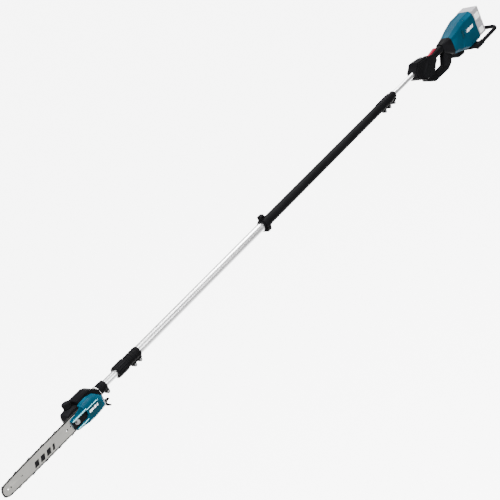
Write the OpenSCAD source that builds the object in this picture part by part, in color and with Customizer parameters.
// Telescoping pole saw, millimetres.
// +X runs from the saw to the motor, +Z is up, -Y is the sprocket cover side.
// The origin lies on the pole axis, at the middle of the grip sleeve.

/* [Pole] */
// Outside diameter of the outer tube
outer_d = 32; // [28:0.5:38]
// Outside diameter of the sliding inner tube
inner_d = 24; // [20:0.5:25]
// Outside diameter of the rear tube
rear_d = 20; // [18:0.5:24]
// Wall of all three tubes
tube_wall = 1.5; // [1:0.1:2]
// Telescoping travel
reach_travel = 1200; // [600:50:1400]
// Grip sleeve length
sleeve_len = 781; // [500:10:900]
// Grip sleeve wall
sleeve_wall = 2; // [1.5:0.5:4]
// Bare outer tube between the front clamp and the hand stop
bare_len = 699; // [500:1:900]
// Bare rear tube between the rear clamp and the handle
rear_bare_len = 160; // [100:10:300]

/* [Saw head] */
// Guide bar length from the cover to its tip
bar_len = 292; // [200:1:360]
// Guide bar width
bar_w = 40; // [36:1:44]
// Guide bar thickness
bar_t = 4; // [3:0.5:5]
// Height of the chain above the bar rail
chain_h = 4.5; // [3.5:0.5:6]
// Width of the chain
chain_w = 4.8; // [4:0.2:6]
// Teeth on the bevel pinion
pinion_teeth = 13; // [11:1:16]
// Teeth on the bevel gear
gear_teeth = 20; // [18:1:24]
// Bevel gear module
gear_module = 1.5; // [1.2:0.1:1.7]

/* [Handle and motor] */
// Half width of the control box
box_half = 27; // [24:1:32]
// Half width of the grip
grip_half = 15.5; // [14:0.5:18]
// Half width of the hand loop
loop_half = 12; // [11:1:16]
// Housing wall thickness
case_wall = 3; // [2:0.5:3.5]
// Motor diameter
motor_d = 56; // [46:1:58]
// Motor length
motor_len = 38; // [25:1:40]
// Tail guard tube diameter
guard_d = 17; // [12:1:20]
// Battery pack width
pack_w = 74.4; // [70:0.2:76]
// Battery pack height
pack_h = 59.4; // [56:0.2:60]
// Battery pack length
pack_len = 116; // [100:1:130]

/* [Fits] */
// Running clearance on a shaft or slide, on the radius
run_fit = 0.05; // [0.03:0.01:0.08]
// Gap beside a moving piece
gap = 0.5; // [0.4:0.1:1]

/* [Hidden] */
FN = 48;
FINE = 72;

// Radii of the pole
outer_r = outer_d / 2;
inner_r = inner_d / 2;
rear_r = rear_d / 2;
sleeve_r = outer_r + sleeve_wall;

// Stations along the pole
sleeve_x0 = -sleeve_len / 2;
sleeve_x1 = sleeve_len / 2;
stop_len = 42;
stop_x0 = sleeve_x0 - stop_len;
clamp_len = 61;
clamp_x1 = stop_x0 - bare_len;
clamp_x0 = clamp_x1 - clamp_len;
collar_len = 47;
collar_x1 = clamp_x0 - 2;
collar_x0 = collar_x1 - collar_len;
collar_r = outer_r + 5;
spigot_r = outer_r + 1;
collet_r = inner_r + 2;
rear_clamp_len = 109;
rear_clamp_x1 = sleeve_x1 + rear_clamp_len;
outer_x0 = clamp_x0 + 6;
outer_x1 = sleeve_x1 + 78;

// The head hangs on the inner tube; head_x is the rear face of the gear case.
head_gap = 51;
neck_len = 37;
head_x = collar_x0 - head_gap - neck_len - 5;
ring_w = 3;
neck_x1 = head_x + neck_len;
neck_r = inner_r + 1.4;
socket_len = 12;
inner_x0 = head_x - socket_len;
tube_overlap = 170;
inner_x1 = outer_x0 + reach_travel + tube_overlap;

// Handle and motor stations
tube_entry_x = rear_clamp_x1 + rear_bare_len;
neck_x = tube_entry_x + 285;
case_x1 = neck_x + 187;

// Drive line: a square rod slides in a square socket
rod_r = 4;
square = 5.6;
socket_square = 6.2;
sleeve_shaft_r = 6;
rod_x0 = outer_x0 + 82;
socket_x0 = rod_x0 - 20;
shaft_overlap = 80;
socket_x1 = rod_x0 + reach_travel + shaft_overlap;
rod_round_x = outer_x1 - 30;
rear_tube_x1 = tube_entry_x + 125;

rod_room_r = 6;

// Bevel pair: the apex is where the two shafts cross
sprocket_x = head_x - 66;
pinion_r = gear_module * pinion_teeth / 2;
gear_r = gear_module * gear_teeth / 2;
face_k = 0.62;
bearing_r = 11;
bearing_w = 7;
shaft_bearing_r = 9;

// Guide bar and chain plane
bar_y = -30;
bar_z = -3;
bar_half = bar_w / 2;
cover_x0 = head_x - 148;
bar_tip_x = cover_x0 - bar_len;
bar_heel_x = sprocket_x - 20;
bar_shoulder_x = sprocket_x - 52;
nose_r = bar_half * 0.82;
nose_x = bar_tip_x + nose_r;
taper_x = nose_x + 150;
chain_gap = 0.3;
wrap_r = 14;
stud_x = sprocket_x - 62;
stud_r = 4;
tension_x = sprocket_x - 44;
tension_z = bar_z + 11;
tension_travel = 4;

// Motor stations
motor_x0 = neck_x + 58;
motor_x1 = motor_x0 + motor_len;
motor_r = motor_d / 2;
rotor_r = motor_r - 11;
front_bearing_x = neck_x + 22;
rear_bearing_x = motor_x1 + 6;
dock_x = rear_bearing_x + bearing_w + 12;
dock_t = 8;
pack_x0 = dock_x + dock_t + 2;
pack_split_z = -21;
housing_roof = pack_split_z + pack_h + 3.6;
housing_floor = pack_split_z - pack_h - 5.1;
housing_half = pack_w / 2 + 3.8;
guard_z = housing_floor - 4.5;
guard_y = 62;
guard_r = guard_d / 2;
guard_bend = 34;
guard_x0 = neck_x + 112;
guard_x1 = neck_x + 300;

// ---- Small building blocks ----

// Round bar along X
module xcyl(x0, x1, r, y = 0, z = 0, fn = FN)
    translate([x0, y, z]) rotate([0, 90, 0]) cylinder(h = x1 - x0, r = r, $fn = fn);

// Round bar along Y
module ycyl(y0, y1, r, x = 0, z = 0, fn = FN)
    translate([x, y1, z]) rotate([90, 0, 0]) cylinder(h = y1 - y0, r = r, $fn = fn);

// Round bar along Z
module zcyl(z0, z1, r, x = 0, y = 0, fn = FN)
    translate([x, y, z0]) cylinder(h = z1 - z0, r = r, $fn = fn);

// Tube along X
module xtube(x0, x1, ro, ri, fn = FINE)
    difference() {
        xcyl(x0, x1, ro, fn = fn);
        xcyl(x0 - 1, x1 + 1, ri, fn = fn);
    }

// Box between two corners
module block(a, b) translate(a) cube(b - a);

// Plate with an XZ outline, from y0 to y1
module plate(y0, y1)
    translate([0, y1, 0]) rotate([90, 0, 0]) linear_extrude(height = y1 - y0) children();

// Bar with a YZ outline, from x0 to x1
module bar_along(x0, x1)
    translate([x0, 0, 0]) rotate([90, 0, 90]) linear_extrude(height = x1 - x0) children();

// One rounded corner of an outline
function corner(a, b, c, r, n) =
    let (
        u = (a - b) / norm(a - b),
        v = (c - b) / norm(c - b),
        half = acos(u * v) / 2,
        centre = b + (u + v) / norm(u + v) * (r / sin(half)),
        p = b + u * (r / tan(half)) - centre,
        q = b + v * (r / tan(half)) - centre,
        a0 = atan2(p[1], p[0]),
        turn = (atan2(q[1], q[0]) - a0 + 540) % 360 - 180
    )
    [for (i = [0 : n]) centre + r * [cos(a0 + turn * i / n), sin(a0 + turn * i / n)]];

// Outline with every corner rounded
function rounded(p, r, n = 4) =
    [for (i = [0 : len(p) - 1])
        each corner(p[(i + len(p) - 1) % len(p)], p[i], p[(i + 1) % len(p)], r, n)];

// Outline given relative to a station along X
function shift(p, x) = [for (q = p) [q[0] + x, q[1]]];

// Rounded rectangle between two corners
module round_rect(a, b, r)
    polygon(rounded([a, [b[0], a[1]], b, [a[0], b[1]]], r));

// Socket screw along Y with its head at y0
module screw_y(x, z, y0, y1, r, head_r, head_h) {
    ycyl(y0, y0 + head_h, head_r, x, z, 32);
    ycyl(y0, y1, r, x, z, 32);
}

// ---- Pole ----

module outer_tube() color("gainsboro") xtube(outer_x0, outer_x1, outer_r, outer_r - tube_wall);

module grip_sleeve() color([0.12, 0.12, 0.13]) xtube(sleeve_x0, sleeve_x1, sleeve_r, outer_r);

// Hand stop: a hub with an upper and a lower lobe, the upper one with the harness eye
stop_top = 36;
stop_half = 10;
eye_z = 27;
eye_r = 4;
stop_outline = [[-22, -12], [-17, -27], [17, -27], [22, -12], [17, 12], [stop_half, 20], [stop_half, stop_top],
    [-stop_half, stop_top], [-stop_half, 20], [-17, 12]];
module hand_stop() {
    color([0.13, 0.13, 0.14]) difference() {
        union() {
            xcyl(stop_x0, sleeve_x0, outer_r + 3.5);
            xcyl(stop_x0 + 8, stop_x0 + 26, outer_r + 7);
            bar_along(stop_x0 + 8, stop_x0 + 26) polygon(rounded(stop_outline, 4));
        }
        xcyl(stop_x0 - 1, sleeve_x0 + 1, outer_r, fn = FINE);
        ycyl(-stop_half - 1, stop_half + 1, eye_r, stop_x0 + 17, eye_z);
    }
}

// Pinch lug with its cross bore, hanging below a clamp
lug_r = 6.5;
lug_half = 8;
bolt_r = 2.5;
bolt_head_r = 4.2;
module lug(x, z) {
    ycyl(-lug_half, lug_half, lug_r, x, z);
    block([x - lug_r, -lug_half, z], [x + lug_r, lug_half, z + 14]);
}
module lug_cut(x, z) {
    ycyl(-lug_half - 1, lug_half + 1, bolt_r, x, z);
    ycyl(-lug_half - 1, -lug_half + 3.5, bolt_head_r + 0.3, x, z);
}
// Bolt and its nut, held in a lug
module pinch_bolt(x, z) {
    screw_y(x, z, -lug_half, lug_half, bolt_r, bolt_head_r, 3.5);
    difference() {
        ycyl(lug_half, lug_half + 3, 4.2, x, z, 6);
        ycyl(lug_half - 1, lug_half + 4, bolt_r, x, z);
    }
}

lug_drop = outer_r + 10;
front_lugs = [clamp_x0 + 26, clamp_x0 + 52];
rear_lugs = [sleeve_x1 + 22, sleeve_x1 + 57, sleeve_x1 + 91];
clamp_r = outer_r + 2.2;
spigot_x0 = collar_x0 + 5;
module front_clamp() {
    color([0.1, 0.1, 0.11]) difference() {
        union() {
            xcyl(clamp_x0, clamp_x1, clamp_r);
            xcyl(spigot_x0, clamp_x0, spigot_r);
            for (x = front_lugs) lug(x, -lug_drop);
            block([front_lugs[0] - 14, -11.5, -outer_r - 4], [clamp_x1 - 1, 11.5, -outer_r + 4]);
            for (i = [0 : 3]) xcyl(clamp_x0 + 8 + i * 14, clamp_x0 + 12 + i * 14, clamp_r + 1);
        }
        xcyl(outer_x0, clamp_x1 + 1, outer_r, fn = FINE);
        xcyl(spigot_x0 - 1, outer_x0 + 1, collet_r, fn = FINE);
        for (x = front_lugs) lug_cut(x, -lug_drop);
        block([front_lugs[0] - 10, -1, -60], [clamp_x1 + 1, 1, -outer_r + 6]);
    }
}

// Split ring that grips the inner tube
module collet() {
    color("dimgray") difference() {
        xcyl(spigot_x0, outer_x0 - 1, collet_r, fn = FINE);
        xcyl(spigot_x0 - 1, outer_x0, inner_r + run_fit, fn = FINE);
        for (i = [0 : 2]) rotate([60 * i, 0, 0]) block([spigot_x0 - 1, -0.6, -30], [spigot_x0 + 24, 0.6, 30]);
    }
}

collar_ribs = 16;
module lock_collar() {
    color([0.1, 0.1, 0.11]) difference() {
        union() {
            xcyl(collar_x0, collar_x1, collar_r - 1);
            for (i = [0 : collar_ribs - 1]) rotate([i * 360 / collar_ribs, 0, 0])
                block([collar_x0 + 4, -2, 10], [collar_x1 - 4, 2, collar_r]);
        }
        xcyl(spigot_x0 - gap, collar_x1 + 1, spigot_r + gap, fn = FINE);
        xcyl(collar_x0 - 1, collar_x1, inner_r + gap, fn = FINE);
    }
}

module rear_clamp() {
    color([0.1, 0.1, 0.11]) difference() {
        union() {
            xcyl(sleeve_x1, outer_x1 + 6, clamp_r + 1);
            xcyl(outer_x1 + 6, rear_clamp_x1, rear_r + 6);
            for (x = rear_lugs) lug(x, -lug_drop);
            block([rear_lugs[0] - 12, -11.5, -outer_r - 4], [rear_clamp_x1 - 3, 11.5, -rear_r]);
            for (i = [0 : 4]) xcyl(sleeve_x1 + 8 + i * 14, sleeve_x1 + 12 + i * 14, clamp_r + 2);
        }
        xcyl(sleeve_x1 - 1, outer_x1, outer_r, fn = FINE);
        xcyl(outer_x1 - 1, rear_clamp_x1 + 1, rear_r, fn = FINE);
        for (x = rear_lugs) lug_cut(x, -lug_drop);
        block([sleeve_x1 - 1, -1, -60], [rear_clamp_x1 + 1, 1, -rear_r + 4]);
    }
}

module clamp_bolts() {
    color("silver") for (x = concat(front_lugs, rear_lugs)) pinch_bolt(x, -lug_drop);
}

module reducer_bush() color("dimgray") xtube(outer_x1 - 44, outer_x1, outer_r - tube_wall, rear_r);

module rear_tube() color("gainsboro")
    xtube(outer_x1 - 44, rear_tube_x1, rear_r, rear_r - tube_wall);

// Journals that carry the rod inside the rear tube
bush_len = 16;
module shaft_bushes() {
    color("tan") for (x = [outer_x1 - 12, tube_entry_x - 20, rear_tube_x1 - bush_len])
        xtube(x, x + bush_len, rear_r - tube_wall, rod_r + run_fit);
}

module inner_tube() color("gainsboro") xtube(inner_x0, inner_x1, inner_r, inner_r - tube_wall);

// Journals inside the inner tube, and the guide ring on its rear end
guide_len = 40;
module pole_bushes() {
    color("tan") {
        for (i = [0 : 3])
            let (x = inner_x0 + 30 + i * (inner_x1 - inner_x0 - 80) / 3)
                xtube(x, x + bush_len, inner_r - tube_wall, sleeve_shaft_r + run_fit);
        xtube(inner_x1 - guide_len, inner_x1, outer_r - tube_wall - run_fit, inner_r);
    }
}

// ---- Drive line ----

module rear_drive_shaft() {
    color("slategray") {
        xcyl(rod_round_x, neck_x - 2, rod_r);
        block([rod_x0, -square / 2, -square / 2], [rod_round_x, square / 2, square / 2]);
        difference() {
            xcyl(neck_x - 6, neck_x + 12, 7);
            xcyl(neck_x - 2, neck_x + 13, rod_r);
        }
    }
}

module front_drive_shaft() {
    color("slategray") difference() {
        xcyl(sprocket_x + gear_r + 2, socket_x1, sleeve_shaft_r);
        block([socket_x0, -socket_square / 2, -socket_square / 2],
            [socket_x1 + 1, socket_square / 2, socket_square / 2]);
    }
}

// Straight bevel gear, apex at the origin, teeth opening towards +Z.
// lead is the distance from the apex to the large end, and r its pitch radius.
module bevel_teeth(teeth, r, lead) {
    slant = norm([r, lead]);
    cos_cone = lead / slant;
    add = 0.75 * gear_module / cos_cone;
    ded = 1.15 * gear_module / cos_cone;
    pitch = 360 / teeth;
    root = r - ded;
    translate([0, 0, lead]) mirror([0, 0, 1])
        linear_extrude(height = lead * (1 - face_k), scale = face_k)
            polygon([for (i = [0 : teeth - 1]) each [
                root * [cos(pitch * (i - 0.33)), sin(pitch * (i - 0.33))],
                r * [cos(pitch * (i - 0.2)), sin(pitch * (i - 0.2))],
                (r + add) * [cos(pitch * (i - 0.11)), sin(pitch * (i - 0.11))],
                (r + add) * [cos(pitch * (i + 0.11)), sin(pitch * (i + 0.11))],
                r * [cos(pitch * (i + 0.2)), sin(pitch * (i + 0.2))],
                root * [cos(pitch * (i + 0.33)), sin(pitch * (i + 0.33))]]]);
}

module bevel_pinion() {
    color("gray") translate([sprocket_x, 0, 0]) rotate([0, 90, 0])
        difference() {
            union() {
                // A tooth on the gear's side
                rotate([0, 0, 90]) bevel_teeth(pinion_teeth, pinion_r, gear_r);
                translate([0, 0, gear_r - 1]) cylinder(h = 4, r = pinion_r - 2.4, $fn = FN);
            }
            translate([0, 0, gear_r + 2]) cylinder(h = 4, r = sleeve_shaft_r, $fn = FN);
        }
}

shaft_r = 5;
gear_hub = 6;
module bevel_gear() {
    color("gray") translate([sprocket_x, 0, 0]) rotate([-90, 0, 0])
        difference() {
            union() {
                // Half a tooth on, so that a gap faces the pinion's tooth
                rotate([0, 0, 180 / gear_teeth]) bevel_teeth(gear_teeth, gear_r, pinion_r);
                translate([0, 0, pinion_r - 1]) cylinder(h = gear_hub + 1, r = gear_r - 3.4, $fn = FN);
            }
            cylinder(h = 40, r = shaft_r, $fn = FN);
        }
}

sprocket_y0 = bar_y - 7;
module sprocket_shaft() {
    color("slategray") ycyl(sprocket_y0, pinion_r + gear_hub + 8, shaft_r, sprocket_x, 0);
}

sprocket_teeth = 7;
module drive_sprocket() {
    color("dimgray") difference() {
        plate(bar_y - 3, bar_y + 3)
            polygon([for (i = [0 : sprocket_teeth - 1]) each
                let (a = i * 360 / sprocket_teeth) [
                    [sprocket_x, 0] + 10 * [cos(a - 16), sin(a - 16)],
                    [sprocket_x, 0] + 12.8 * [cos(a - 7), sin(a - 7)],
                    [sprocket_x, 0] + 12.8 * [cos(a + 7), sin(a + 7)],
                    [sprocket_x, 0] + 10 * [cos(a + 16), sin(a + 16)]]]);
        ycyl(bar_y - 4, bar_y + 4, shaft_r, sprocket_x, 0);
    }
}

// ---- Saw head ----

pad_y0 = bar_y + bar_t / 2 + run_fit;
case_y0 = -22;
split_y = 2;
case_y1 = 26;
case_outline = shift([[-87, -30], [-18, -33], [0, -18], [0, 14], [-17, 30], [-32, 37], [-87, 38]], head_x);
case_inner = shift([[-84, -26], [-22, -28], [-15, -16], [-15, 14], [-22, 26], [-34, 33], [-84, 34]], head_x);
chamber_r = gear_r + 2.8;
case_screws = [[head_x - 80, -24], [head_x - 80, 31], [head_x - 24, -25], [head_x - 32, 31]];

// The room for the gears, the bearings and the tube end
module gear_room() {
    ycyl(-6, pinion_r + gear_hub + 1.5, chamber_r, sprocket_x, 0);
    xcyl(sprocket_x, sprocket_x + gear_r + 5, pinion_r + 2.5);
    xcyl(sprocket_x, inner_x0 + 1, bearing_r);
    xcyl(inner_x0, neck_x1 + 1, inner_r, fn = FINE);
    ycyl(-6 - bearing_w, -5, shaft_bearing_r, sprocket_x, 0);
    ycyl(pinion_r + gear_hub + 1, pinion_r + gear_hub + 1.5 + bearing_w, shaft_bearing_r, sprocket_x, 0);
    ycyl(bar_y - 10, 0, shaft_r + 1, sprocket_x, 0);
}

pad_outline = shift([[-144, -19], [-108, -19], [-79, -12], [-79, 12], [-108, 14.5], [-144, 14.5]], head_x);
module gear_case() {
    color([0.12, 0.12, 0.13]) difference() {
        union() {
            plate(case_y0, split_y) polygon(rounded(case_outline, 3));
            plate(pad_y0, -18) polygon(rounded(pad_outline, 3));
            plate(case_y0, -18) polygon(shift([[-90, -14], [-76, -14], [-76, 12], [-90, 12]], head_x));
            xcyl(head_x - 2, neck_x1, neck_r, fn = FINE);
        }
        gear_room();
        for (s = case_screws) ycyl(-16, 30, 1.6, s[0], s[1]);
        // Slot and bore of the tension block and its screw
        block([tension_x - 5, pad_y0 - 1, tension_z - 4 - gap],
            [tension_x + 5 + tension_travel, -18.8, tension_z + 4 + gap]);
        xcyl(tension_x - 60, tension_x, 2.6, -23, tension_z);
        ycyl(bar_y, -17, stud_r, stud_x, bar_z);
        // Compression slot in the neck
        block([head_x + 6, -1, -40], [neck_x1 + 1, 1, -5]);
        // Oil pump pocket
        pump_shape();
    }
}

module gear_case_lid() {
    color([0.12, 0.12, 0.13]) difference() {
        union() {
            plate(split_y, case_y1 - 5) polygon(rounded(case_outline, 3));
            plate(case_y1 - 5, case_y1) polygon(rounded(case_inner, 3));
        }
        gear_room();
        xcyl(head_x - 4, neck_x1 + 1, neck_r, fn = FINE);
        for (s = case_screws) {
            ycyl(0, 40, 1.6, s[0], s[1]);
            ycyl(case_y1 - 8, 40, 3.2, s[0], s[1]);
        }
    }
}

// Screws of the lid, and the pinch bolt of the head clamp
head_lug_x = neck_x1 - 2;
head_lug_z = -inner_r - 12;
head_clamp_r = neck_r + 4;
module head_screws() {
    color("silver") {
        for (s = case_screws) {
            ycyl(-16, case_y1 - 8, 1.6, s[0], s[1]);
            ycyl(case_y1 - 8, case_y1 - 5, 3.2, s[0], s[1]);
        }
        pinch_bolt(head_lug_x, head_lug_z);
    }
}

module ring_gasket() color("lightgray") xtube(head_x, head_x + ring_w, head_clamp_r + 1.6, neck_r);

module head_clamp() {
    color([0.1, 0.1, 0.11]) difference() {
        union() {
            xcyl(head_x + ring_w, neck_x1, head_clamp_r);
            for (i = [0 : 3]) xcyl(head_x + ring_w + 3 + i * 6, head_x + ring_w + 5 + i * 6, head_clamp_r + 0.8);
            lug(head_lug_x, head_lug_z);
        }
        xcyl(head_x, neck_x1 + 20, neck_r, fn = FINE);
        lug_cut(head_lug_x, head_lug_z);
        block([head_x + ring_w - 1, -1, -60], [neck_x1 + 20, 1, -5]);
    }
}

module head_bearings() {
    color("silver") {
        for (x = [inner_x0 - bearing_w - 1, inner_x0 - 2 * bearing_w - 5]) difference() {
            xcyl(x, x + bearing_w, bearing_r);
            xcyl(x - 1, x + bearing_w + 1, sleeve_shaft_r + run_fit);
        }
        difference() {
            ycyl(-6 - bearing_w, -6, shaft_bearing_r, sprocket_x, 0);
            ycyl(-30, 0, shaft_r + run_fit, sprocket_x, 0);
        }
        difference() {
            ycyl(pinion_r + gear_hub + 1.5, pinion_r + gear_hub + 1.5 + bearing_w, shaft_bearing_r,
                sprocket_x, 0);
            ycyl(0, 60, shaft_r + run_fit, sprocket_x, 0);
        }
    }
}

// Plunger pump beside the sprocket shaft
module pump_shape() {
    xcyl(sprocket_x + 4, sprocket_x + 26, 4, -18, -24);
}
module oil_pump() color("silver") pump_shape();

tank_outline = shift([[-139, -24], [-134, -28], [-87, -28], [-87, 24], [-112, 25], [-134, 21], [-139, 10]],
    head_x);
tank_inner = shift([[-136, -23], [-132, -25], [-90, -25], [-90, 21], [-112, 22], [-132, 18], [-136, 9]],
    head_x);
cap_x = head_x - 103;
cap_y = 13;
neck_z = 32;
module oil_tank() {
    color([0.12, 0.12, 0.13]) difference() {
        union() {
            plate(-18, case_y1 - 4) polygon(rounded(tank_outline, 2.5));
            plate(case_y1 - 4, case_y1) polygon(rounded(tank_inner, 2.5));
            zcyl(20, neck_z, 11, cap_x, cap_y);
        }
        plate(-15, case_y1 - 3) polygon(rounded(tank_inner, 2));
        zcyl(10, neck_z + 1, 8, cap_x, cap_y);
        ycyl(bar_y, -10, stud_r, stud_x, bar_z);
    }
}

cap_r = 15;
cap_ribs = 20;
module oil_cap() {
    color([0.1, 0.1, 0.11]) difference() {
        union() {
            zcyl(neck_z - 5, neck_z + 9.5, cap_r - 0.8, cap_x, cap_y);
            zcyl(neck_z + 9, neck_z + 11, cap_r - 3, cap_x, cap_y);
            for (i = [0 : cap_ribs - 1]) translate([cap_x, cap_y, 0]) rotate([0, 0, i * 360 / cap_ribs])
                block([cap_r - 3, -1.2, neck_z - 4], [cap_r, 1.2, neck_z + 8.5]);
        }
        zcyl(neck_z - 6, neck_z + gap, 11 + gap, cap_x, cap_y);
    }
}

module bar_stud() {
    color("silver") ycyl(bar_y - 16, -15, stud_r, stud_x, bar_z);
}

// Branch hook: two prongs on a root that is screwed below the case
hook_y0 = -14;
hook_y1 = -8;
hook_outline = shift([[-19, -32.95], [-12, -26.5], [-3, -20.45], [2, -27], [8, -33], [20, -36], [22, -40],
    [12, -42],
    [6, -44], [10, -52], [18, -60], [14, -63], [4, -56], [-5, -46], [-13, -40]], head_x);
module branch_hook() color([0.08, 0.08, 0.09]) difference() {
    plate(hook_y0, hook_y1) polygon(hook_outline);
    // The root is shaped to the case that it is welded to
    plate(hook_y0 - 1, hook_y1 + 1) polygon(rounded(case_outline, 3));
}

// ---- Guide bar and chain ----

// Half width of the bar at x: parallel, then easing down to the nose
function bar_hw(x) = x > taper_x ? bar_half
    : let (t = (taper_x - x) / (taper_x - nose_x)) bar_half - (bar_half - nose_r) * t * t;
rail_steps = 8;
function rail_x(i) = taper_x + (nose_x - taper_x) * i / rail_steps;
nose_steps = 14;

// Bar outline, moved outwards by o, without its heel
function bar_front(o) = concat(
    [for (i = [0 : rail_steps - 1]) [rail_x(i), bar_z + bar_hw(rail_x(i)) + o]],
    [for (i = [0 : nose_steps]) let (a = 90 + 180 * i / nose_steps)
        [nose_x + (nose_r + o) * cos(a), bar_z + (nose_r + o) * sin(a)]],
    [for (i = [rail_steps - 1 : -1 : 0]) [rail_x(i), bar_z - bar_hw(rail_x(i)) - o]]);

// The bar's shoulder stays ahead of the chain's bend when the bar slides back
bar_back_x = bar_shoulder_x - tension_travel - 2;
function bar_outline(o) = concat([[bar_back_x, bar_z + bar_half + o]], bar_front(o),
    [[bar_back_x, bar_z - bar_half - o], [bar_heel_x + o, bar_z - 12 - o],
     [bar_heel_x + o, bar_z + 12 + o]]);

// Chain loop: along the rails, round the nose and round the drive sprocket
wrap_steps = 12;
wrap_a0 = -80;
wrap_a1 = 86;
function chain_outline(o) = concat([[bar_shoulder_x, bar_z + bar_half + o]], bar_front(o),
    [[bar_shoulder_x, bar_z - bar_half - o]],
    [for (i = [0 : wrap_steps]) let (a = wrap_a0 + (wrap_a1 - wrap_a0) * i / wrap_steps)
        [sprocket_x + (wrap_r + o) * cos(a), (wrap_r + o) * sin(a)]]);

cutter_pitch = 28.6;
cutter_h = 2.4;
cutter_count = floor((bar_shoulder_x - 8 - nose_x) / cutter_pitch);

// Cutter bump on the chain, seen from its heel to its tip
function cutter(i, side) =
    let (x = nose_x + 4 + i * cutter_pitch, base = bar_hw(x) + chain_gap + chain_h)
    [for (q = [[-6, 0], [-5, cutter_h], [2, cutter_h - 0.4], [4, 0]]) [x + q[0],
        bar_z + side * (base + q[1])]];
function backwards(p) = [for (i = [len(p) - 1 : -1 : 0]) p[i]];
chain_out = chain_gap + chain_h;
chain_outer = concat(
    [[bar_shoulder_x, bar_z + bar_half + chain_out]],
    [for (i = [cutter_count : -1 : 0]) each backwards(cutter(i, 1))],
    [for (i = [0 : nose_steps]) let (a = 90 + 180 * i / nose_steps)
        [nose_x + (nose_r + chain_out) * cos(a), bar_z + (nose_r + chain_out) * sin(a)]],
    [for (i = [0 : cutter_count]) each cutter(i, -1)],
    [[bar_shoulder_x, bar_z - bar_half - chain_out]],
    [for (i = [0 : wrap_steps]) let (a = wrap_a0 + (wrap_a1 - wrap_a0) * i / wrap_steps)
        [sprocket_x + (wrap_r + chain_out) * cos(a), (wrap_r + chain_out) * sin(a)]]);

module saw_chain() {
    color([0.2, 0.2, 0.21]) difference() {
        plate(bar_y - chain_w / 2, bar_y + chain_w / 2) polygon(chain_outer);
        plate(bar_y - chain_w, bar_y + chain_w) polygon(chain_outline(chain_gap));
    }
}

nose_hole_x = nose_x + 2;
nose_gear_r = nose_r - 6.5;
rail_groove = 5;
groove_w = 1.4;
module guide_bar() {
    color([0.68, 0.68, 0.65]) {
        difference() {
            plate(bar_y - bar_t / 2, bar_y + bar_t / 2) polygon(bar_outline(0));
            // Rail groove, all the way round
            plate(bar_y - groove_w / 2, bar_y + groove_w / 2) difference() {
                polygon(bar_outline(1));
                polygon(bar_outline(-rail_groove));
            }
            ycyl(bar_y - 1, bar_y + 1, nose_gear_r + gap, nose_hole_x, bar_z);
            ycyl(bar_y - 5, bar_y + 5, 2.6, nose_hole_x, bar_z);
            ycyl(bar_y - 5, bar_y + 5, 1.6, nose_x + 58, bar_z);
            ycyl(bar_y - 5, bar_y + 5, 2.6, cover_x0 - 21, bar_z - 1);
            ycyl(bar_y - 5, bar_y + 5, 3.2, cover_x0 - 3, bar_z);
            ycyl(bar_y - 5, bar_y + 5, 2.5, tension_x, tension_z);
            // Slot for the stud
            ycyl(bar_y - 5, bar_y + 5, stud_r + 0.3, stud_x - 6, bar_z);
            ycyl(bar_y - 5, bar_y + 5, stud_r + 0.3, stud_x + 1, bar_z);
            block([stud_x - 6, bar_y - 5, bar_z - stud_r - 0.3],
                [stud_x + 1, bar_y + 5, bar_z + stud_r + 0.3]);
        }
        // Post of the nose sprocket
        difference() {
            ycyl(bar_y - 1, bar_y + 1, 4, nose_hole_x, bar_z);
            ycyl(bar_y - 2, bar_y + 2, 2.6, nose_hole_x, bar_z);
        }
    }
}

nose_teeth = 9;
module nose_sprocket() {
    color("dimgray") difference() {
        plate(bar_y - 0.6, bar_y + 0.6)
            polygon([for (i = [0 : nose_teeth - 1]) each
                let (a = i * 360 / nose_teeth, c = [nose_hole_x, bar_z]) [
                    c + (nose_gear_r - 2.5) * [cos(a - 12), sin(a - 12)],
                    c + nose_gear_r * [cos(a - 4), sin(a - 4)],
                    c + nose_gear_r * [cos(a + 4), sin(a + 4)],
                    c + (nose_gear_r - 2.5) * [cos(a + 12), sin(a + 12)]]]);
        ycyl(bar_y - 2, bar_y + 2, 4 + run_fit, nose_hole_x, bar_z);
    }
}

module tension_block() {
    color("dimgray") {
        difference() {
            block([tension_x - 4, pad_y0 + 0.4, tension_z - 4], [tension_x + 4, -19.2, tension_z + 4]);
            xcyl(tension_x - 10, tension_x + 10, 2 + run_fit, -23, tension_z);
        }
        ycyl(bar_y - bar_t / 2, pad_y0 + 0.5, 2.5, tension_x, tension_z);
    }
}

module tension_screw() {
    color("silver") {
        xcyl(head_x - 147, tension_x + 4.5, 2, -23, tension_z);
        difference() {
            xcyl(head_x - 148, head_x - 144.4, 4, -23, tension_z);
            block([head_x - 149, -24, tension_z - 0.6], [head_x - 146.5, -22, tension_z + 0.6]);
        }
    }
}

// Sprocket cover: a lens at the rear and a fork round the nut at the front
cover_rim_y = case_y0;
cover_face_y = -46;
cover_step_y = -38;
cover_rear = shift([[-93, 26], [-84, 29], [-56, 30], [-30, 23], [-11, 2], [-10, -14], [-14, -33], [-36, -36],
    [-68, -38], [-93, -36]], head_x);
cover_rear_in = shift([[-93, 23], [-85, 26], [-58, 27], [-33, 20], [-14, 1], [-13, -14], [-17, -30],
    [-36, -33],
    [-68, -35], [-93, -33]], head_x);
cover_face = shift([[-90, 13], [-54, 13], [-34, 8], [-22, -2], [-20, -24], [-40, -29], [-68, -31],
    [-90, -29]], head_x);
fork_low = shift([[-148, 15], [-114, 19], [-93, 26], [-90, 26], [-90, -37], [-112, -32], [-138, -28],
    [-143, -24],
    [-148, -14]], head_x);
fork_face = shift([[-147, 12], [-90, 13], [-90, -29], [-112, -28], [-138, -25]], head_x);
fork_slot = shift([[-160, 8], [-92, 8], [-86, 3], [-86, -14], [-92, -19], [-160, -19]], head_x);
cover_wall_y = -35;
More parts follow.
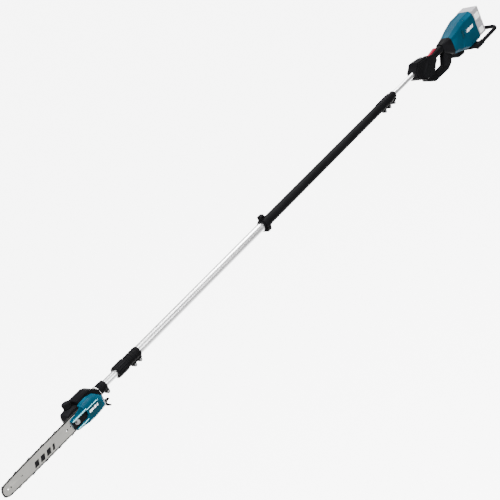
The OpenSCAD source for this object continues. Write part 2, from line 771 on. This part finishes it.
module sprocket_cover() {
    color([0.08, 0.42, 0.5]) difference() {
        union() {
            plate(cover_step_y, cover_rim_y) polygon(rounded(cover_rear, 2.5));
            hull() {
                plate(cover_step_y - 0.1, cover_step_y) polygon(rounded(cover_rear, 2.5));
                plate(cover_face_y, cover_face_y + 0.1) polygon(cover_face);
            }
            plate(cover_step_y, cover_wall_y) polygon(fork_low);
            plate(cover_face_y, cover_step_y) polygon(fork_face);
            // Boss that presses on the bar
            plate(cover_step_y, bar_y - bar_t / 2 - run_fit)
                polygon(rounded(shift([[-142, -18], [-100, -18], [-100, 12], [-142, 12]], head_x), 4));
        }
        plate(cover_wall_y, 0) polygon(rounded(cover_rear_in, 2));
        plate(cover_wall_y, 0) polygon(shift([[-99, 21], [-80, 25], [-80, -32], [-99, -32]], head_x));
        plate(cover_face_y + 3, cover_wall_y + 1)
            polygon(shift([[-83, 10], [-56, 10], [-38, 4], [-26, -5], [-24, -21], [-42, -26], [-83, -26]],
                head_x));
        plate(cover_face_y - 1, cover_step_y) polygon(fork_slot);
        ycyl(-60, 0, stud_r + gap, stud_x, bar_z);
    }
}

nut_af = 13;
module cover_nut() {
    color("silver") difference() {
        union() {
            ycyl(cover_step_y - 2, cover_step_y, 9, stud_x, bar_z);
            ycyl(cover_step_y - 7, cover_step_y - 2, nut_af / 2 / cos(30), stud_x, bar_z, 6);
        }
        ycyl(-60, 0, stud_r + run_fit, stud_x, bar_z);
    }
}

// ---- Handle ----

hx = tube_entry_x;
box_outline = shift([[-3, -18], [-3, 10], [17, 24], [31, 36], [97, 27], [128, 15], [144, 12], [152, 8],
    [160, -19],
    [143, -28], [130, -42], [114, -53], [110, -59], [79, -60], [52, -52], [3, -28]], hx);
box_inner = shift([[1, -17], [1, 8], [19, 20], [32, 32], [96, 23], [124, 11], [128, 0], [124, -32],
    [106, -48], [79, -55], [53, -47], [6, -25]], hx);
box_room = shift([[5, -16], [5, 6], [20, 17], [33, 28], [95, 20], [118, 9], [118, -36], [79, -52], [54, -44],
    [8, -23]], hx);
loop_outline = shift([[52, -50], [63, -66], [112, -93], [223, -96], [256, -83], [276, -57], [276, -40],
    [232, -24],
    [205, -67], [117, -67], [115, -50]], hx);
wall = case_wall;
grip_z0 = -20;
grip_z1 = 10;
housing_front = [[-18, 17], [18, 17], [29, 9], [31, -10], [31, -45], [24, -59], [-24, -59], [-31, -45],
    [-31, -10],
    [-29, 9]];

module whole_handle() {
    difference() {
        union() {
            plate(-box_half + 6, box_half - 6) polygon(rounded(box_outline, 4));
            plate(-box_half, box_half) polygon(rounded(box_inner, 6));
            plate(-loop_half, loop_half) polygon(rounded(loop_outline, 6));
            bar_along(hx + 128, neck_x - 44) round_rect([-grip_half, grip_z0], [grip_half, grip_z1], 11);
            hull() {
                bar_along(neck_x - 54, neck_x - 50) round_rect([-17, -28], [17, 14], 10);
                bar_along(neck_x - 2, neck_x) polygon(housing_front);
            }
        }
        // Control room
        plate(-box_half + wall, box_half - wall) polygon(box_room);
        xcyl(hx - 10, hx + 30, rear_r, fn = FINE);
        xcyl(hx + 100, rear_tube_x1, rear_r, fn = FINE);
        xcyl(rear_tube_x1 - 1, neck_x - 8, rod_room_r);
        // Neck room
        hull() {
            bar_along(neck_x - 30, neck_x - 29) round_rect([-13, -18], [13, 10], 6);
            bar_along(neck_x, neck_x + 1) round_rect([-24, -50], [24, 11], 6);
        }
        // Trigger slot
        block([hx + 119, -4 - gap, -70], [hx + 168, 4 + gap, -14]);
        // Lever slot
        block([hx + 132, -6 - gap, rod_room_r + 0.6], [hx + 204, 6 + gap, 40]);
        // Button hole
        zcyl(10, 50, 5 + gap, button_x, 0);
        for (s = handle_screw_at) ycyl(-40, 40, 1.6, s[0], s[1]);
        for (s = handle_screw_at) ycyl(-40, -s[2] + 6, 3, s[0], s[1]);
        // Pivot pins
        ycyl(-9, 9, 2, trigger_x, trigger_z);
        ycyl(-9, 9, 1.2, lever_x, lever_z);
    }
}

// Screws: along X, up, and the half width that each starts from
handle_screw_at = [[hx + 26, -24, box_half], [hx + 60, -48, box_half], [hx + 126, -80, loop_half],
    [hx + 214, -82, loop_half], [hx + 250, -60, loop_half], [hx + 112, 17, box_half - 6]];
button_x = hx + 88;
trigger_x = hx + 140;
trigger_z = -24;
lever_x = hx + 138;
lever_z = 9;

module half_space(side) translate([-3000, side > 0 ? 0 : -300, -300]) cube([6000, 300, 600]);

module handle_left() color([0.11, 0.11, 0.12]) difference() {
    whole_handle();
    half_space(1);
}
module handle_right() color([0.11, 0.11, 0.12]) difference() {
    whole_handle();
    half_space(-1);
}

module handle_screws() {
    color("silver") {
        for (s = handle_screw_at) {
            ycyl(-s[2] + 3, s[2] - 4, 1.6, s[0], s[1], 24);
            ycyl(-s[2] + 3, -s[2] + 6, 3, s[0], s[1], 24);
        }
        // Pivot pins of the trigger and the lever
        ycyl(-9, 9, 2, trigger_x, trigger_z);
        ycyl(-9, 9, 1.2, lever_x, lever_z);
    }
}

module trigger() {
    color([0.75, 0.15, 0.13]) difference() {
        plate(-4, 4)
            polygon(shift([[130, -17], [144, -17], [147, -21], [158, -38], [160, -44], [148, -50], [144, -58],
                [138, -57], [136, -48], [127, -42], [131, -30], [132, -22]], hx));
        ycyl(-9, 9, 2 + run_fit, trigger_x, trigger_z);
    }
}

module trigger_switch() {
    color([0.2, 0.2, 0.22]) {
        block([hx + 94, -9, -36], [hx + 118, 9, -14]);
        xcyl(hx + 118, hx + 127.5, 2, 0, -18.5);
    }
}

module lock_off_lever() {
    color([0.6, 0.12, 0.2]) difference() {
        plate(-6, 6)
            polygon(shift([[134, 7.4], [146, 7.7], [196, 12.2], [200, 13], [200, 16], [194, 18.4], [186, 18],
                [142, 12.8], [135, 12]], hx));
        ycyl(-9, 9, 1.2 + run_fit, lever_x, lever_z);
    }
}

button_top = 33;
module power_button() {
    color([0.35, 0.35, 0.37]) {
        zcyl(18, button_top - 1, 5, button_x, 0);
        zcyl(button_top - 1, button_top, 4, button_x, 0);
    }
}

module control_board() {
    color([0.05, 0.3, 0.15]) {
        block([hx + 34, 13, -34], [hx + 90, 15, 16]);
        block([hx + 44, 15, -28], [hx + 70, 21, -8]);
        block([hx + 74, 15, -20], [hx + 86, 20, 8]);
    }
}

// ---- Motor housing and batteries ----

mid_floor = -72;
housing_mid = [[-22, 31], [22, 31], [36, 18], [38, -4], [38, -60], [32, mid_floor], [-32, mid_floor],
    [-38, -60], [-38, -4], [-36, 18]];
rear_upper = [[housing_half - 16, housing_roof], [housing_half - 2.5, housing_roof - 14], [housing_half, 12]];
rear_lower = [[housing_half, housing_floor + 6.5], [housing_half - 5, housing_floor]];
rear_side = concat(rear_upper, rear_lower);
housing_rear = concat(rear_side, [for (i = [1 : len(rear_side)]) mirror_y(rear_side[len(rear_side) - i])]);
mid_x = neck_x + 50;
rear_x = neck_x + 110;
// Height of the housing's sloping underside
function housing_bottom(x) = mid_floor + (housing_floor - mid_floor) * (x - mid_x) / (rear_x - mid_x);
function mirror_y(q) = [-q[0], q[1]];

// Cross section moved inwards
function inset(p, d) = [for (q = p) [q[0] - sign(q[0]) * d, q[1] - (q[1] > -20 ? d : -d)]];

module housing_solid(d) {
    hull() {
        bar_along(neck_x, neck_x + 0.1) polygon(inset(housing_front, d));
        bar_along(mid_x, mid_x + 0.1) polygon(inset(housing_mid, d));
    }
    hull() {
        bar_along(mid_x, mid_x + 0.1) polygon(inset(housing_mid, d));
        bar_along(rear_x, case_x1 + (d > 0 ? 1 : 0)) polygon(inset(housing_rear, d));
    }
}

bay_half = pack_w / 2;
bay_z0 = pack_split_z - pack_h - 0.3;
bay_z1 = pack_split_z + pack_h + 0.3;
pack_bevel = 14;

// Section of the room for both packs, with bevelled upper corners; g is the gap round them
module bay_section(g)
    polygon([[-bay_half - g, bay_z0 - g], [bay_half + g, bay_z0 - g], [bay_half + g, bay_z1 - pack_bevel],
        [bay_half - pack_bevel, bay_z1 + g], [pack_bevel - bay_half, bay_z1 + g],
        [-bay_half - g, bay_z1 - pack_bevel]]);
housing_screw_at = [[neck_x + 12, -52], [neck_x + 40, 14], [neck_x + 60, -64], [dock_x - 4, housing_roof - 9],
    [dock_x - 4, housing_floor + 13.5]];
module whole_housing() {
    difference() {
        housing_solid(0);
        difference() {
            housing_solid(wall);
            // Bulkheads that hold the bearings, the motor and the dock
            block([neck_x - 1, -60, -100], [neck_x + 3, 60, 60]);
            block([front_bearing_x - 2, -60, -100], [front_bearing_x + bearing_w, 60, 60]);
            block([motor_x0 + 8, -60, -100], [motor_x1 - 8, 60, 60]);
            block([rear_bearing_x, -60, -100], [rear_bearing_x + bearing_w + 2, 60, 60]);
            block([dock_x - 6, -60, -100], [case_x1 + 2, 60, 60]);
        }
        // Battery bay
        bar_along(dock_x, case_x1 + 5) bay_section(gap);
        block([dock_x - 8, -30, -60], [dock_x + 1, 30, 26]);
        // Bores on the motor axis
        xcyl(neck_x - 1, dock_x, rod_r + 4);
        xcyl(front_bearing_x, front_bearing_x + bearing_w + 1, bearing_r);
        xcyl(rear_bearing_x - 1, rear_bearing_x + bearing_w, bearing_r);
        xcyl(motor_x0 + 7, motor_x1 - 7, motor_r, fn = FINE);
        for (s = housing_screw_at) ycyl(-60, 60, 1.6, s[0], s[1]);
        for (s = housing_screw_at) ycyl(-60, -screw_depth(s[0]), 3, s[0], s[1]);
        for (x = bracket_screw_x, y = bracket_screw_y) zcyl(housing_floor - 5, bracket_screw_z, 2, x, y);
        // Side recess
        for (side = [-1, 1]) translate([neck_x + 76, side * 41, -8]) rotate([0, -14, 0])
            cube([13, 7, 30], center = true);
    }
}
// Depth at which a housing screw head sits: half the local width, less its recess
function screw_depth(x) = 31 + min(1, (x - neck_x) / (rear_x - neck_x)) * 6 - 9;

module motor_housing_left() color([0.07, 0.4, 0.48]) difference() {
    whole_housing();
    half_space(1);
}
module motor_housing_right() color([0.07, 0.4, 0.48]) difference() {
    whole_housing();
    half_space(-1);
}

// Screws of the housing and of the guard bracket
bracket_screw_x = [guard_x0 + 6, guard_x0 + 34];
bracket_screw_y = [-22, 22];
bracket_screw_z = housing_floor + 3.5;
module housing_screws() {
    color("silver") {
        for (s = housing_screw_at) {
            ycyl(-screw_depth(s[0]) - 3, 16, 1.6, s[0], s[1], 24);
            ycyl(-screw_depth(s[0]) - 3, -screw_depth(s[0]), 3, s[0], s[1], 24);
        }
        for (x = bracket_screw_x, y = bracket_screw_y) {
            zcyl(guard_z - 8, guard_z - 5, 4, x, y, 24);
            zcyl(guard_z - 5, bracket_screw_z, 2, x, y, 24);
        }
    }
}

module stator() color("chocolate") xtube(motor_x0, motor_x1, motor_r, rotor_r + 0.5);

module rotor() {
    color("dimgray") {
        difference() {
            xcyl(motor_x0 + 1, motor_x1 - 1, rotor_r);
            xcyl(motor_x0, motor_x1, rod_r);
        }
        xcyl(neck_x, rear_bearing_x + bearing_w + 1, rod_r);
    }
}

fan_blades = 9;
fan_r = 24;
module fan() {
    color([0.15, 0.15, 0.16]) difference() {
        union() {
            xcyl(motor_x0 - 14, motor_x0 - 3, 9);
            xcyl(motor_x0 - 4.5, motor_x0 - 3, fan_r);
            for (i = [0 : fan_blades - 1]) rotate([i * 360 / fan_blades, 0, 0])
                block([motor_x0 - 14, -0.8, 8], [motor_x0 - 4, 0.8, fan_r]);
        }
        xcyl(motor_x0 - 20, motor_x0, rod_r);
    }
}

module motor_bearings() {
    color("silver") for (x = [front_bearing_x, rear_bearing_x]) difference() {
        xcyl(x, x + bearing_w, bearing_r);
        xcyl(x - 1, x + bearing_w + 1, rod_r + run_fit);
    }
}

// Terminal block that both packs plug against
module battery_dock() {
    color([0.15, 0.15, 0.16]) {
        bar_along(dock_x, dock_x + dock_t) bay_section(gap);
        for (z = pack_slots) for (y = [-14, -5, 5, 14])
            block([dock_x + dock_t, y - 0.6, z - 6], [dock_x + dock_t + 12, y + 0.6, z + 6]);
    }
}
pack_slots = [pack_split_z + pack_h / 2, pack_split_z - pack_h / 2];

// One pack: shell with a split step, terminal slots and a release recess
pack_x1 = pack_x0 + pack_len;
module pack(z0, bevel) {
    z1 = z0 + pack_h;
    zm = (z0 + z1) / 2;
    w = pack_w / 2;
    difference() {
        union() {
            bar_along(pack_x0, case_x1 + 3)
                polygon([[-w, z0], [w, z0], [w, z1 - bevel], [w - bevel, z1], [bevel - w, z1],
                    [-w, z1 - bevel]]);
            bar_along(case_x1 + 2, pack_x1 - 3) round_rect([-w, z0], [w, z1], 3);
            bar_along(pack_x1 - 3, pack_x1) round_rect([-w + 2, z0 + 2], [w - 2, z1 - 2], 3);
        }
        for (y = [-14, -5, 5, 14]) block([pack_x0 - 1, y - 1.2, zm - 7], [pack_x0 + 12, y + 1.2, zm + 7]);
        block([pack_x1 - 8, -12 - gap, z1 - 18], [pack_x1 + 1, 12 + gap, z1 - 18 + 9 + 2 * gap]);
    }
}
module release_button(z0) {
    z1 = z0 + pack_h;
    block([pack_x1 - 5, -12, z1 - 18 + gap], [pack_x1 - 0.5, 12, z1 - 9 + gap]);
}
upper_z0 = pack_split_z + 0.3;
lower_z0 = pack_split_z - 0.3 - pack_h;
module battery_upper() color([0.8, 0.79, 0.8]) pack(upper_z0, pack_bevel);
module battery_lower() color([0.8, 0.79, 0.8]) pack(lower_z0, 2);
module upper_release() color([0.75, 0.45, 0.48]) release_button(upper_z0);
module lower_release() color([0.75, 0.45, 0.48]) release_button(lower_z0);

// Tail guard: a bent tube that shields the packs
module tail_guard() {
    color([0.06, 0.06, 0.06]) {
        for (side = [-1, 1]) {
            translate([0, side * guard_y, guard_z]) xcyl(guard_x0, guard_x1 - guard_bend, guard_r);
            translate([guard_x1 - guard_bend, side * (guard_y - guard_bend), guard_z])
                rotate([0, 0, side > 0 ? 0 : -90]) rotate_extrude(angle = 90, $fn = 96)
                    translate([guard_bend, 0]) circle(r = guard_r, $fn = 32);
        }
        translate([guard_x1, 0, guard_z])
            ycyl(-guard_y + guard_bend, guard_y - guard_bend, guard_r);
    }
}

// Rubber foot below the front of the housing
foot_half = 22;
foot_outline = shift([[6, -60.7], [50, mid_floor - 0.1], [72, housing_bottom(neck_x + 72) - 0.1],
    [70, housing_floor - 2.5], [62, housing_floor - 6.5], [20, -88], [10, -80]], neck_x);
module front_foot() color([0.06, 0.06, 0.06]) plate(-foot_half, foot_half) polygon(foot_outline);

bracket_x1 = guard_x0 + 44;
bracket_z1 = housing_floor;
module guard_bracket() {
    color([0.09, 0.09, 0.1]) difference() {
        union() {
            block([guard_x0 - 6, -36, guard_z - 8], [bracket_x1, 36, bracket_z1]);
            block([guard_x0 - 6, -guard_y, guard_z - 7], [bracket_x1, guard_y, bracket_z1]);
            for (side = [-1, 1]) xcyl(guard_x0 - 6, bracket_x1, guard_r + 3, side * guard_y, guard_z);
        }
        for (side = [-1, 1]) xcyl(guard_x0, bracket_x1 + 1, guard_r, side * guard_y, guard_z);
        for (x = bracket_screw_x, y = bracket_screw_y) {
            zcyl(guard_z - 9, guard_z - 5, 4, x, y);
            zcyl(guard_z - 9, bracket_z1 + 1, 2, x, y);
        }
    }
}

outer_tube();
grip_sleeve();
hand_stop();
front_clamp();
collet();
rear_clamp();
clamp_bolts();
reducer_bush();
rear_tube();
shaft_bushes();
handle_left();
handle_right();
handle_screws();
trigger_switch();
control_board();
motor_housing_left();
motor_housing_right();
housing_screws();
stator();
motor_bearings();
battery_dock();
tail_guard();
guard_bracket();
front_foot();
lock_collar();
trigger();
lock_off_lever();
power_button();
rotor();
fan();
rear_drive_shaft();
battery_upper();
upper_release();
battery_lower();
lower_release();
inner_tube();
pole_bushes();
head_clamp();
head_screws();
ring_gasket();
gear_case();
gear_case_lid();
head_bearings();
oil_tank();
oil_pump();
bar_stud();
sprocket_cover();
saw_chain();
branch_hook();
front_drive_shaft();
bevel_pinion();
sprocket_shaft();
bevel_gear();
drive_sprocket();
guide_bar();
tension_block();
nose_sprocket();
tension_screw();
cover_nut();
oil_cap();
